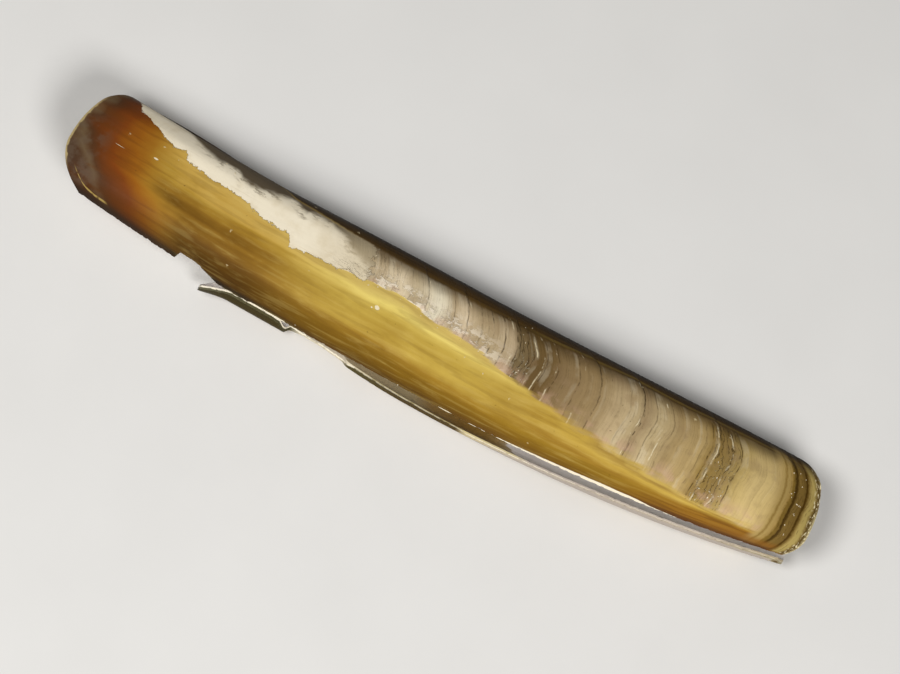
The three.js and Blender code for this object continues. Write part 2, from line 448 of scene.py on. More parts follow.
def start_group(name, takes, gives):
    """A shader group; takes maps input names to their usual values, with None for a vector."""
    tree = bpy.data.node_groups.new(name, "ShaderNodeTree")
    for label, value in takes.items():
        kind = "NodeSocketVector" if value is None else "NodeSocketFloat"
        socket = tree.interface.new_socket(label, in_out="INPUT", socket_type=kind)
        if value is not None:
            socket.default_value = value
    for label in gives:
        tree.interface.new_socket(label, in_out="OUTPUT", socket_type="NodeSocketFloat")
    given = tree.nodes.new("NodeGroupInput")
    return tree, [Field(given.outputs[label]) for label in takes]


def use(group, *values):
    """Places a shader group in the tree of its values; returns its outputs in order."""
    made = tree_of(*values).nodes.new("ShaderNodeGroup")
    made.node_tree = group
    put(made, *values)
    return [Field(socket) for socket in made.outputs]


tree, (growth, place, spacing, width, seed) = start_group(
    "growth lines", {"Growth": 0.0, "Place": None, "Spacing": 1.0, "Width": 0.1, "Seed": 0.0},
    ["Lines", "Tone"],
)
cells = (growth + (noise(place, 3.5) - 0.5) * 0.2) / spacing + seed
gap = node(tree, "ShaderNodeTexVoronoi", voronoi_dimensions="1D", feature="DISTANCE_TO_EDGE")
lines = (gap.fill(W=cells, Scale=1.0) * spacing).step(width, width * 0.2) * noise(place, 0.7).step(0.4, 0.6)
GROWTH_LINES = end_group(tree, lines, noise(cells, 0.9, detail=3.0, kind="1D").step(0.3, 0.7))

tree, (along, across, seed) = start_group(
    "lengthwise streaks", {"Along": 0.0, "Across": 0.0, "Seed": 0.0}, ["Broad", "Fine"]
)
broad = noise(point(along * 0.012, across * 0.28, seed), 1.0, detail=2.0, roughness=0.5)
fine = noise(point(along * 0.09, across * 0.95, seed), 1.0, detail=3.0, roughness=0.45)
STREAKS = end_group(tree, broad.step(0.25, 0.75), fine.step(0.3, 0.7))

tree, (inside, place, ragged, soft) = start_group(
    "ragged edge", {"Inside": 0.0, "Place": None, "Ragged": 1.0, "Soft": 0.1}, ["Mask"]
)
tear = (noise(place, 0.75, detail=6.0, roughness=0.75) - 0.5) * 2.0
RAGGED_EDGE = end_group(tree, (inside + tear * ragged).step(soft * -1.0, soft))

tree, (place, per_mm, share, seed) = start_group(
    "specks", {"Place": None, "Per mm": 0.5, "Share": 0.1, "Seed": 0.0}, ["Specks"]
)
moved = node(tree, "ShaderNodeVectorMath", place, point(seed, seed, seed), operation="ADD")
bent = node(tree, "ShaderNodeTexNoise", moved, out="Color").fill(Scale=2.5)
moved = node(tree, "ShaderNodeVectorMath", moved, bent, operation="ADD")
dots = node(tree, "ShaderNodeTexVoronoi", moved, out="Distance").fill(Scale=per_mm)
chance = node(tree, "ShaderNodeSeparateColor", dots.other("Color"))
SPECKS = end_group(tree, dots.step(0.13, 0.05) * (chance < share))

tree, (growth, around, seed) = start_group(
    "crackle", {"Growth": 0.0, "Around": 0.0, "Seed": 0.0}, ["Cracks", "Flakes"]
)
wander = noise(point(growth * 0.5, around * 0.045, seed), 1.0, detail=4.0, roughness=0.62)
from_line = (growth * 1.1 + wander * 3.6).of("PINGPONG", 0.5)
broken = noise(point(growth * 1.3, around * 0.1, seed + 5.0), 1.0, detail=3.0)
# pale flakes between the cracks, raised and partly painted glints
flakes_and_glints = noise(point(growth * 1.5, around * 0.22, seed + 3.0), 1.0, detail=4.0, roughness=0.7)
CRACKLE = end_group(
    tree, from_line.step(0.13, 0.03) * broken.step(0.42, 0.5),
    flakes_and_glints.step(0.54, 0.6) * abs(from_line - 0.2).step(0.1, 0.03),
)

# about how many mm a degree round is
MM_ROUND = 0.2
# golden-olive skin, from its upper edge (0) down to the lower margin (1)
# it runs from light at its upper edge to dark at the margin: partly its own colour, partly painted light and
# shade
OLIVE_FRONT = [
    (0.0, (210, 176, 92)), (0.1, (202, 164, 78)), (0.2, (176, 138, 52)), (0.35, (142, 104, 36)),
    (0.5, (104, 71, 20)), (0.65, (90, 61, 18)), (0.8, (70, 47, 18)), (0.92, (50, 37, 21)),
    (1.0, (42, 31, 20)),
]
OLIVE_MIDDLE = [
    (0.0, (210, 182, 100)), (0.04, (222, 196, 108)), (0.1, (238, 214, 117)), (0.2, (216, 188, 94)),
    (0.3, (196, 166, 74)), (0.5, (153, 117, 37)), (0.7, (124, 92, 26)), (0.88, (98, 69, 18)),
    (1.0, (90, 62, 18)),
]
OLIVE_HIND = [
    (0.0, (190, 160, 80)), (0.04, (166, 134, 62)), (0.12, (190, 157, 68)), (0.3, (154, 118, 40)),
    (0.5, (145, 112, 35)), (0.7, (128, 95, 28)), (0.9, (110, 78, 25)), (1.0, (94, 64, 22)),
]
# the oldest skin, the growth bands and the hind rim, by place along the shell
OLDEST_SKIN = [
    (-82, (64, 50, 38)), (-77, (78, 54, 36)), (-75, (104, 84, 60)), (-73.4, (84, 54, 32)),
    (-71.5, (100, 54, 24)), (-68, (124, 64, 22)), (-64, (150, 92, 26)), (-60, (166, 120, 40)),
    (-55, (178, 140, 56)),
]
BANDS = [
    (-22, (168, 148, 112)), (-14, (202, 181, 146)), (-10, (232, 213, 178)), (-7.6, (200, 181, 145)),
    (-5.2, (216, 200, 168)), (-4.8, (240, 226, 194)), (-3, (246, 235, 206)), (0.4, (190, 168, 132)),
    (3.3, (228, 207, 172)), (3.8, (204, 182, 146)), (6.3, (192, 170, 132)), (9, (190, 168, 130)),
    (12.8, (194, 172, 138)), (13.8, (126, 108, 76)), (17.5, (110, 87, 52)), (20, (110, 86, 48)),
    (22.5, (138, 114, 78)), (29, (160, 135, 94)), (31.6, (168, 144, 104)), (33.6, (200, 176, 134)),
    (38.2, (190, 168, 126)), (39.4, (178, 154, 116)), (42, (197, 175, 131)), (46, (180, 154, 106)),
    (50.5, (188, 161, 108)), (52.4, (152, 124, 66)), (56.4, (148, 123, 72)), (59, (190, 164, 102)),
    (62, (212, 186, 126)), (66, (198, 172, 113)),
]
HIND_RIM = [
    (65.5, (184, 158, 104)), (67.3, (168, 142, 86)), (67.7, (134, 108, 54)), (68.1, (164, 138, 82)),
    (68.8, (156, 128, 72)), (69.1, (124, 98, 42)), (69.6, (112, 88, 38)), (69.8, (68, 48, 14)),
    (70.1, (74, 54, 18)), (70.4, (118, 94, 46)), (71.7, (110, 86, 40)), (71.9, (70, 48, 10)),
    (72.1, (78, 56, 16)), (72.4, (124, 100, 50)), (72.9, (166, 144, 84)), (73.6, (162, 142, 82)),
    (74.0, (116, 94, 50)), (74.3, (84, 66, 32)), (74.6, (120, 102, 64)), (75, (180, 166, 124)),
]
# the strip beside the hinge, by degrees round, and its lower edge, in degrees round, along the shell
HINGE_STRIP = [
    (0, (80, 58, 28)), (12, (64, 48, 26)), (22, (44, 32, 18)), (33, (42, 30, 17)), (43, (64, 47, 23)),
    (52, (78, 56, 23)), (60, (104, 80, 40)),
]
STRIP_EDGE = [(-22, 53), (-8, 58), (8, 59), (18, 59), (38, 53), (50, 56), (62, 53), (75, 54)]
# growth lines: place along the shell, and strength of the dark ones
DARK_LINES = [
    (-8.4, 0.4), (-5.0, 0.6), (0.6, 0.4), (3.5, 0.7), (6.3, 0.5), (8.6, 0.8), (10.9, 0.9), (13.4, 0.9),
    (19.2, 0.6), (21.6, 0.6), (25.9, 0.5), (30.2, 0.6), (36.0, 0.3), (38.9, 0.9), (41.3, 0.5), (44.4, 0.4),
    (50.8, 0.4), (52.3, 0.8), (58.1, 0.9),
]
PALE_LINES = [-4.6, 4.1, 12.6, 17.0, 18.6, 21.2, 27.0, 38.4, 43.4, 53.4, 56.4]
# the pale line behind the front lip, in degrees round, along the shell
FRONT_LIP_LINE = [(-75, 130), (-73, 138), (-72.6, 146), (-71.9, 157), (-69.8, 161), (-67, 161), (75, 161)]


def start_material(name):
    """A new material, and the place of each point in mm."""
    material = bpy.data.materials.new(name)
    material.use_nodes = True
    return material, in_mm(node(material.node_tree, "ShaderNodeTexCoord", out="Object"))


def set_shader(material, **values):
    put(material.node_tree.nodes["Principled BSDF"], **values)
    return material


def start_finish(name, specular):
    """A new material, the place of each point in mm, and what each point of a wall carries."""
    material, place = start_material(name)
    set_shader(material, **{"Specular IOR Level": specular, "IOR": 1.2})
    carried = [node(place.tree, "ShaderNodeAttribute", attribute_name=label, out="Fac") for label in CARRIED]
    return material, place, *carried


def end_finish(material, colour, roughness, height):
    bump = node(colour.tree, "ShaderNodeBump", 1.0, MM, out="Normal").fill(Height=height)
    return set_shader(material, **{"Base Color": colour, "Roughness": roughness, "Normal": bump})


def greatest(fields):
    total, *others = fields
    for field in others:
        total = total.of("MAXIMUM", field)
    return total


def spots(along, around, place, marks):
    """Small worn spots with torn edges: place along, degrees round, half length and half width in mm."""
    torn = (noise(place, 1.6, detail=4.0, roughness=0.65) - 0.5) * 2.6
    worn = []
    for at, degrees, half_length, half_width in marks:
        far = ((along - at) / half_length) ** 2.0 + ((around - degrees) * (MM_ROUND / half_width)) ** 2.0
        worn.append((far + torn).step(1.2, 0.7))
    return greatest(worn)


def olive_skin(along, around, down, fine, seed):
    """Golden-olive skin, in streaks that run lengthwise; down is 0 at its upper edge and 1 at the margin."""
    front, middle, hind = (ramp(down, 0.0, 1.0, stops) for stops in (OLIVE_FRONT, OLIVE_MIDDLE, OLIVE_HIND))
    skin = over(front, middle, along.step(-38.0, -12.0))
    skin = over(skin, hind, along.step(2.0, 26.0))
    dabs = noise(point(along * 0.14, around * 0.12, seed), 1.0, detail=5.0, roughness=0.65)
    skin = over(skin, (104, 70, 24), fine.step(0.6, 1.0) * 0.2 + dabs.step(0.5, 0.8) * 0.22)
    return over(skin, (232, 206, 122), fine.step(0.4, 0.0) * 0.1 + dabs.step(0.5, 0.2) * 0.16)


def oldest_skin(skin, place, along, around, mottle, broad, fine):
    """Laid over the front: orange, then red-brown and grey-purple skin, and the pale line of the lip."""
    age = along + (mottle - 0.5) * 4.0 + (broad - 0.5) * 1.5 - around.step(90.0, 150.0) * 7.0
    old = ramp(age, -82.0, -54.0, OLDEST_SKIN)
    old = over(old, (100, 58, 22), fine.step(0.55, 1.0) * 0.3)
    # darker towards the lower margin: partly the old skin's own colour, partly painted shade of the lower
    # flank
    old = over(old, (76, 44, 20), around.step(120.0, 154.0) * 0.6)
    old = over(old, (46, 35, 26), around.step(150.0, 174.0) * 0.9)
    bloom = noise(place, 0.4, detail=5.0, roughness=0.6).step(0.4, 0.6) * along.step(-66.5, -71.0)
    bloom = bloom * around.step(70.0, 104.0) * around.step(166.0, 150.0)
    old = over(old, (102, 86, 70), bloom * 0.45)
    skin = over(skin, old, age.step(-54.0, -62.0))
    lip_line = abs(around - drawn_line(along, FRONT_LIP_LINE)).step(2.6, 1.0) * along.step(-73.2, -72.8)
    lip_line = lip_line * along.step(-66.5, -68.0) * noise(place, 0.9).step(0.35, 0.55)
    return over(skin, (176, 150, 84), lip_line * 0.8)


def stained_skin(skin, along, around, broad, fine):
    """Laid over the lower margin: red-brown stains towards the hind end."""
    stain = (around + (broad - 0.5) * 12.0).step(142.0, 162.0)
    stain = stain * along.step(36.0, 58.0) * along.step(73.6, 70.5)
    skin = over(skin, (140, 92, 30), stain * 0.75)
    skin = over(skin, (92, 58, 24), stain * fine.step(0.45, 0.9) * 0.5)
    return over(skin, (84, 50, 24), stain * around.step(164.0, 175.0) * 0.85)


def growth_bands(place, along, around, growth, skin_edge, seed):
    """Dull growth bands above the skin: their colour, their relief in mm and their finest lines."""
    lines, tone = use(GROWTH_LINES, growth, place, 2.6, 0.14, seed)
    fine_lines, fine_tone = use(GROWTH_LINES, growth, place, 0.55, 0.1, seed + 7.0)
    crosswise = (around - 62.0) / (skin_edge - 62.0)
    bands = ramp(growth + (noise(place, 0.5, detail=3.0) - 0.5) * 1.2, -22.0, 66.0, BANDS)
    # darker towards the hinge side: partly the dark skin beside the strip, partly painted shade of the upper
    # flank
    bands = over(bands, (104, 84, 50), crosswise.step(0.45, 0.0) * 0.35)
    bands = over(bands, (64, 44, 14), around.step(72.0, 55.0) * 0.62)
    clouds = noise(place, 0.3, detail=5.0, roughness=0.6)
    bands = over(bands, (150, 124, 92), clouds.step(0.5, 0.3) * 0.35)
    uneven = noise(point(growth * 0.3, around * 0.05, seed), 1.0, detail=4.0)
    bands = over(bands, (240, 228, 198), tone.step(0.6, 1.0) * uneven.step(0.4, 0.6) * 0.2)
    bands = over(bands, (116, 92, 58), tone.step(0.4, 0.0) * 0.14 + uneven.step(0.5, 0.25) * 0.24)
    bands = over(bands, (112, 90, 56), fine_tone.step(0.4, 0.0) * 0.12)

    # dark lines, and at the rough stops cracks with raised pale flakes between them, partly painted glints
    near = greatest(
        abs(growth - stop).step(reach * 1.1, reach * 0.5) * (1.0 if height > 0.1 else 0.5)
        for stop, reach, height in ROUGH_STOPS
    )
    cracks, flakes_and_glints = use(CRACKLE, growth, around, seed)
    strong = (abs(growth - stop).step(0.17, 0.05) * strength for stop, strength in DARK_LINES)
    dark = greatest([lines * 0.2, *strong]) * noise(place, 0.6, detail=3.0).step(0.38, 0.56)
    dark = dark.of("MAXIMUM", cracks * near * 0.8)
    bands = over(bands, (58, 42, 22), (dark * 0.8 + fine_lines * 0.1).of("MINIMUM", 1.0))
    # the pale flakes, partly painted glints
    bands = over(bands, (246, 236, 206), flakes_and_glints * near * crosswise.step(0.2, 0.9) * 0.8)

    # pale broken lines, bare lime where the bands peel beside the skin, and pinkish clouds
    kept = noise(point(growth * 0.5, around * 0.07, seed + 8.0), 1.0, detail=5.0, roughness=0.6)
    pale = greatest(abs(growth - stop).step(0.2, 0.06) for stop in PALE_LINES) * kept.step(0.48, 0.62)
    bands = over(bands, (240, 224, 186), pale * 0.65)
    peeled = noise(point(along * 0.5, around * 0.16, seed), 1.0, detail=6.0, roughness=0.7).step(0.49, 0.55)
    peeled = peeled * crosswise.step(0.3, 0.85) * along.step(18.0, 4.0)
    bands = over(bands, (246, 232, 208), peeled * 0.8)
    pink = noise(place, 0.35, detail=4.0).step(0.45, 0.6) * crosswise.step(0.7, 0.95)
    bands = over(bands, (196, 160, 132), pink * 0.5)
    sunk = dark * -0.05 + fine_lines * -0.02
    return bands, sunk + fine_tone * 0.02 + flakes_and_glints * near * 0.08 + pale * 0.06 + peeled * 0.05, fine_lines


def banded_part(along, around, skin_edge, seed):
    """Where the bands show: above the edge of the skin, which ends in torn tongues towards the hind end."""
    hind_part = along.step(8.0, 30.0)
    tongues = noise(point(along * 0.16, around * 0.16, seed + 4.0), 1.0, detail=6.0, roughness=0.66) - 0.5
    above = (skin_edge - around) * MM_ROUND + tongues * (hind_part * 2.0 + 2.4)
    return (above / (hind_part * 0.8 + 0.2)).step(-1.0, 1.0) * along.step(-26.0, -18.0)


def hinge_strip(place, along, around, start, seed):
    """The dark brown strip beside the hinge: its colour, where it lies, and its fine streaks."""
    edge = drawn_line(along, [(-75, 0), (start - 12, 0), (start, 46), *STRIP_EDGE])
    _broad, streaks = use(STREAKS, along, around * MM_ROUND * 1.6, seed + 3.0)
    strip = ramp(around, 0.0, 60.0, HINGE_STRIP)
    strip = over(strip, (30, 20, 10), streaks.step(0.3, 1.0) * 0.4)
    low_line = abs(around - edge + 4.0).step(3.0, 0.5) * along.step(14.0, 22.0)
    strip = over(strip, (122, 100, 48), low_line * 0.6)
    in_strip, = use(RAGGED_EDGE, (edge - around) * MM_ROUND, place, 0.5, 0.5)
    return strip, in_strip, streaks


def bare_lime(place, along, around, top, mottle, streaks, seed):
    """Lime where the skin has worn off, grey-brown above its top line, partly its own colour and partly
    painted shade of the upper flank: its colour and its brushed grain.
    """
    shade = ((top - around) * MM_ROUND + (mottle - 0.5) * 3.0).step(-0.5, 1.4)
    brush = noise(point(along * 0.35, around * 0.16, seed), 1.0, detail=5.0, roughness=0.66)
    flecks = brush.step(0.5, 0.6) * abs((top - around) * MM_ROUND).step(2.2, 0.4) * along.step(-60.0, -48.0)
    clouds = noise(place, 0.25, detail=4.0).step(0.45, 0.7)
    lime = over((248, 236, 210), (232, 217, 186), clouds * 0.7)
    stripes = noise(point(along * 0.1, around * 0.5, seed), 1.0, detail=4.0).step(0.6, 0.75)
    lime = over(lime, (204, 184, 148), stripes * 0.4)
    beside = over((122, 102, 64), (86, 68, 38), streaks)
    beside = over(beside, (56, 39, 20), along.step(-64.0, -50.0) * 0.8)
    # grey-brown above the top line: partly its own colour, partly painted shade of the upper flank
    lime = over(lime, beside, shade * 0.92)
    lime = over(lime, (96, 78, 50), flecks * 0.6)
    return over(lime, (206, 188, 152), along.step(-30.0, -17.0) * 0.6), brush


def hind_rim(place, along, around, growth, fine_lines, seed):
    """Concentric lines of the last growth, round the hind margin."""
    uneven = (noise(place, 1.4, detail=4.0, roughness=0.6) - 0.5) * 0.5
    rim = ramp(growth * 0.35 + along * 0.65 + uneven, 65.5, 75.0, HIND_RIM)
    rim = over(rim, (60, 42, 18), fine_lines * 0.4 * along.step(68.0, 69.5) * along.step(74.6, 74.0))
    flecks = noise(point(along * 4.0, around * 0.2, seed), 1.0, detail=3.0).step(0.55, 0.62)
    return over(rim, (236, 222, 180), flecks * along.step(73.7, 74.1) * 0.8)


def outside_skin(
    name, seed, patch_low, patch_top, patch_end, strip_start, worn_margin, worn_colour, margin_painted_shade, marks
):
    """The outside of one valve. The patch is where the skin is gone and bare lime shows."""
    material, place, along, around, growth, _inside = start_finish(name, specular=0.14)
    skin_edge = drawn_line(along, SKIN_EDGE)
    mottle = noise(place, 0.22, detail=4.0)
    broad, fine = use(STREAKS, along, around * MM_ROUND, seed)
    down = (around - skin_edge) / (LOWER_MARGIN - skin_edge) + (broad - 0.5) * 0.2 + (mottle - 0.5) * 0.14
    skin = olive_skin(along, around, down, fine, seed)
    skin = oldest_skin(skin, place, along, around, mottle, broad, fine)
    skin = stained_skin(skin, along, around, broad, fine)
    bands, band_relief, fine_lines = growth_bands(place, along, around, growth, skin_edge, seed)
    banded = banded_part(along, around, skin_edge, seed)
    colour = over(skin, bands, banded)
    strip, in_strip, streaks = hinge_strip(place, along, around, strip_start, seed)
    colour = over(colour, strip, in_strip)

    # the patch, with torn edges, and hidden where the strip runs over it
    low, top = drawn_line(along, patch_low), drawn_line(along, patch_top)
    bare, = use(RAGGED_EDGE, (low - around) * MM_ROUND, place, 1.3, 0.06)
    ended, = use(RAGGED_EDGE, along * -1.0 + patch_end, place, 3.4, 0.1)
    patch = bare * ended * along.step(-73.6, -71.0) * (1.0 - in_strip * along.step(-46.0, -34.0))
    lime, brush = bare_lime(place, along, around, top, mottle, streaks, seed)
    colour = over(colour, lime, patch)
    rim = hind_rim(place, along, around, growth, fine_lines, seed)
    colour = over(colour, rim, along.step(65.5, 67.5) * around.step(34.0, 62.0) * around.step(179.0, 172.0))

    # the lower margin, stained at its hind corner, elsewhere darkened by painted shade in places and worn
    # pale in others, then the pale front lip, partly a painted highlight
    corner = along.step(58.0, 65.0) * along.step(72.8, 71.4)
    colour = over(colour, (134, 90, 34), corner * around.step(152.0, 164.0) * 0.8)
    colour = over(colour, (78, 48, 24), corner * around.step(166.0, 176.0) * 0.8)
    # painted shade along the lower margin, by the amount drawn along the shell
    colour = over(colour, (60, 52, 26), around.step(132.0, 150.0) * drawn_line(along, margin_painted_shade, top=1))
    below_wear = (around - drawn_line(along, worn_margin, top=190)) * MM_ROUND
    worn, = use(RAGGED_EDGE, below_wear, place, 0.25, 0.06)
    colour = over(colour, worn_colour, worn)
    # the pale front lip: the yellow-green skin of the rim, partly lightened as a painted highlight
    lip = (along + (noise(place, 0.8, detail=3.0) - 0.5) * 0.9).step(-74.5, -74.8)
    colour = over(colour, (188, 168, 118), lip * around.step(50.0, 80.0) * around.step(150.0, 130.0) * 0.8)

    # specks and nicks
    pale_specks, = use(SPECKS, place, 0.45, 0.08, seed)
    dark_specks, = use(SPECKS, place, 0.8, 0.05, seed + 20.0)
    colour = over(colour, (236, 216, 168), pale_specks * 0.55)
    colour = over(colour, (74, 54, 24), dark_specks * 0.6)
    nicks = spots(along, around, place, marks)
    colour = over(colour, (244, 230, 196), nicks * 0.85)

    roughness = banded * 0.1 + patch * 0.2 + noise(place, 1.2) * 0.14 + 0.36
    height = (
        band_relief * banded + fine * 0.012 * (1.0 - banded) + patch * -0.09 + brush * 0.03 * patch
        + worn * -0.05 + nicks * -0.05 + pale_specks * 0.04 + noise(place, 2.4, detail=3.0) * 0.02
    )
    return end_finish(material, colour, roughness, height)


def lime_finish(name, light, deep, roughness, near_margin=None):
    """Bare lime, clouded and faintly lined, with colours of its own near a margin where it is stained."""
    material, place, along, around, growth, _inside = start_finish(name, specular=0.4)
    broad, fine = use(STREAKS, along, around * MM_ROUND, 5.0)
    lines, tone = use(GROWTH_LINES, growth, place, 3.4, 0.2, 2.0)
    colour = over(light, deep, noise(place, 0.1, detail=4.0).step(0.4, 0.7) * 0.6 + broad * 0.2)
    colour = over(colour, deep, lines * 0.25 + tone * 0.1)
    if near_margin is not None:
        missing, stains, reach = near_margin
        to_margin = (LOWER_MARGIN - drawn_line(along, missing) - around) * MM_ROUND + (fine - 0.5) * 1.2
        stained = ramp(along + (broad - 0.5) * 3.0, -75.0, 75.0, stains)
        colour = over(colour, stained, (to_margin - drawn_line(along, reach, top=8)).step(0.3, -0.3))
    grime, = use(SPECKS, place, 0.7, 0.12, 11.0)
    colour = over(colour, (104, 86, 56), grime * 0.6)
    height = fine * 0.015 + noise(place, 1.5) * 0.03
    return end_finish(material, colour, noise(place, 0.8) * 0.12 + roughness, height)


def margin_finish(name, inner, outer, line, line_strength, seed):
    """The broken or worn edge of a wall, from its inner to its outer side, with a white line between."""
    material, place, along, _around, _growth, inside = start_finish(name, specular=0.3)
    grain = noise(point(along * 1.6, inside * 3.0, seed), 1.0, detail=4.0, roughness=0.65)
    depth = inside + (grain - 0.5) * 0.3
    towards = depth - drawn_line(along, line, top=1)
    near_side = ramp(along, -75.0, 75.0, inner)
    far_side = ramp(along, -75.0, 75.0, outer)
    far_side = over(far_side, (60, 48, 28), grain.step(0.52, 0.66) * 0.4)
    colour = over(far_side, near_side, towards.step(-0.05, 0.05))
    white = drawn_line(along, line_strength, top=1) * noise(place, 0.7, detail=3.0).step(0.36, 0.5)
    colour = over(colour, (246, 236, 212), abs(towards).step(0.16, 0.08) * white)
    return end_finish(material, colour, grain * 0.2 + 0.4, grain * 0.08)


porcelain = lime_finish("porcelain inside", (240, 236, 231), (216, 206, 200), roughness=0.28)
scrap = lime_finish("peeling scraps", (232, 218, 190), (196, 176, 140), roughness=0.45)

# The left valve is worn to white lime along the front half of its hinge side, between these two lines.
LEFT_PATCH_LOW = [
    (-75, 26), (-72.5, 34), (-69.2, 49), (-65.3, 57), (-61.8, 64), (-58.8, 69), (-56, 67), (-54.7, 75),
    (-49, 78), (-45.5, 76), (-42.5, 78), (-40.3, 82), (-37.2, 86), (-33, 87), (-32, 86), (-31.2, 98),
    (-30.2, 98), (-27, 94), (-21.7, 94), (-19, 90), (-17.3, 93), (-16.3, 94), (-15, 84), (75, 84),
]
LEFT_PATCH_TOP = [
    (-75, 0), (-69, 8), (-64, 24), (-56.8, 44), (-51.2, 56), (-45.5, 56), (-44.5, 62), (-40.5, 62),
    (-36.5, 54), (-34.3, 51), (-31.2, 62), (-29.7, 54), (-25.8, 55), (-24.2, 62), (-22.2, 65), (-20.8, 70),
    (-19.5, 74), (-16.7, 80), (75, 80),
]
# where the lower margin is worn, in degrees round, along the shell; past 180 it is whole
LEFT_WORN_MARGIN = [
    (-75, 190), (-34, 190), (-32.5, 176), (-25, 177), (-23, 190), (12, 190), (14.5, 178.5), (18, 179),
    (19, 190), (20, 178), (25, 176), (30, 174), (40, 171.5), (47, 173), (50, 177), (55, 179), (57, 190),
    (75, 190),
]
# place along, degrees round, half length, half width
LEFT_MARKS = [
    (-66.4, 98, 0.9, 0.06), (-59.7, 90, 0.5, 0.2), (-12, 109, 0.5, 0.4), (-12.9, 111, 0.2, 0.16),
    (9.6, 178, 1.4, 0.3),
]
HALF = [(-75, 0.5), (75, 0.5)]
left_skin = outside_skin(
    "left valve skin", seed=1.0, patch_low=LEFT_PATCH_LOW, patch_top=LEFT_PATCH_TOP, patch_end=-15.8,
    strip_start=-34, worn_margin=LEFT_WORN_MARGIN, worn_colour=(250, 238, 212),
    margin_painted_shade=[(-75, 0), (75, 0)], marks=LEFT_MARKS,
)
left_edge = margin_finish(
    "left valve edge", inner=[(-75, (226, 210, 170)), (75, (226, 214, 190))],
    outer=[(-75, (196, 172, 120)), (75, (176, 150, 100))], line=HALF, line_strength=HALF, seed=4.0,
)
left_sizes = {
    **VALVE, "Side": 1.0, "Turn": REST_TILT + GAPE, "Seed": 3.0, "Flakes": 1.0,
    "Outside": left_skin, "Inside": porcelain, "Edge": left_edge, "Scrap": scrap,
}
left_tree = valve_tree("left valve", left_sizes, LEFT_BREAKS)
left_valve = grow("left_valve_wall", left_tree, left_sizes)
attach(left_valve, "root")
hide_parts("left_valve")

# Right valve
# The mirror half, of the same lime and skin, on which the shell lies. Its lower margin is broken away at
# the front, where a splinter is pushed in under the left valve, and chipped further back. Its lower hind
# corner is snapped off square.

# how much of the section is gone at the lower margin, in degrees, along the shell
RIGHT_BREAKS = [
    (-75, 80), (-73.4, 74), (-72, 66), (-69, 58), (-52, 58), (-49, 67), (-38.4, 67), (-37.6, 6), (-26, 9),
    (-24.8, 12), (-24.2, 47), (-22, 50), (-18, 49), (-13.4, 44), (-12, 37), (-6, 29), (0, 22), (20, 6),
    (40, 0), (75, 0),
]
RIGHT_HIND_CUT = {"at": 73.7, "below": -0.35}
# a splinter that leans forward, is pushed in, and springs out at its tip: mm, places along, degrees round
RIGHT_FLAP = {
    "forward": 4.4, "from": -50.0, "full": -38.5, "until": -20.0, "above": 114.0, "whole": 148.0,
    "pushed in": [(-75, 0), (-39, 0), (-37, 0.6), (-33, 1.8), (-25, 1.8), (-20, 0), (75, 0)],
    "pushed above": 136.0, "pushed whole": 172.0, "sprung out": 0.85, "before tip": -46.0,
    "until tip": -33.0, "sprung above": 104.0, "sprung whole": 142.0,
}
RIGHT_PATCH_LOW = [
    (-75, 20), (-70, 44), (-63, 52), (-55, 60), (-50, 72), (-44, 70), (-38, 78), (-33, 76), (-28, 84),
    (-24, 80), (75, 80),
]
RIGHT_PATCH_TOP = [(-75, 0), (-64, 20), (-52, 46), (-40, 52), (-30, 58), (-25, 66), (75, 66)]
RIGHT_WORN_MARGIN = [
    (-75, 190), (-10, 190), (-7, 140), (12, 140), (24, 150), (48, 155), (60, 160), (73, 165), (75, 190),
]
# the inner face within reach of the margin, then the margin itself from its inner to its outer side
RIGHT_NEAR_MARGIN = [
    (-44, (200, 200, 194)), (-36, (190, 190, 184)), (-33, (230, 222, 206)), (-25, (220, 210, 192)),
    (-22, (190, 180, 160)), (-13.5, (190, 180, 160)), (-12, (164, 147, 116)), (1, (158, 142, 108)),
    (5, (138, 110, 64)), (11, (128, 98, 48)), (16, (142, 110, 52)), (19, (160, 132, 84)),
    (23, (200, 188, 160)), (27, (226, 220, 206)), (39, (230, 224, 212)), (42, (118, 112, 78)),
    (57, (118, 112, 78)), (62, (240, 230, 224)), (75, (240, 230, 224)),
]
RIGHT_NEAR_REACH = [(-75, 1), (-15, 1), (-12, 3.6), (0, 5.6), (10, 7.4), (20, 7.4), (26, 1), (75, 1)]
RIGHT_EDGE_INNER = [
    (-75, (110, 92, 66)), (-50, (120, 104, 78)), (-44, (236, 230, 214)), (-30, (226, 216, 196)),
    (-24, (214, 202, 176)), (-22, (172, 162, 142)), (-13.5, (176, 164, 144)), (-12, (214, 202, 176)),
    (-6, (150, 138, 100)), (12, (150, 134, 90)), (14, (206, 190, 142)), (24, (196, 182, 142)),
    (27, (180, 168, 156)), (60, (190, 178, 164)), (75, (176, 160, 128)),
]
RIGHT_EDGE_OUTER = [
    (-75, (84, 66, 40)), (-44, (96, 96, 76)), (-35, (92, 88, 66)), (-29, (84, 78, 50)), (-24, (76, 70, 46)),
    (-22, (204, 194, 170)), (-14, (208, 196, 170)), (-12, (80, 72, 42)), (0, (74, 60, 32)),
    (12, (80, 64, 34)), (14, (196, 180, 140)), (27, (186, 174, 158)), (60, (190, 176, 156)),
    (75, (166, 154, 122)),
]
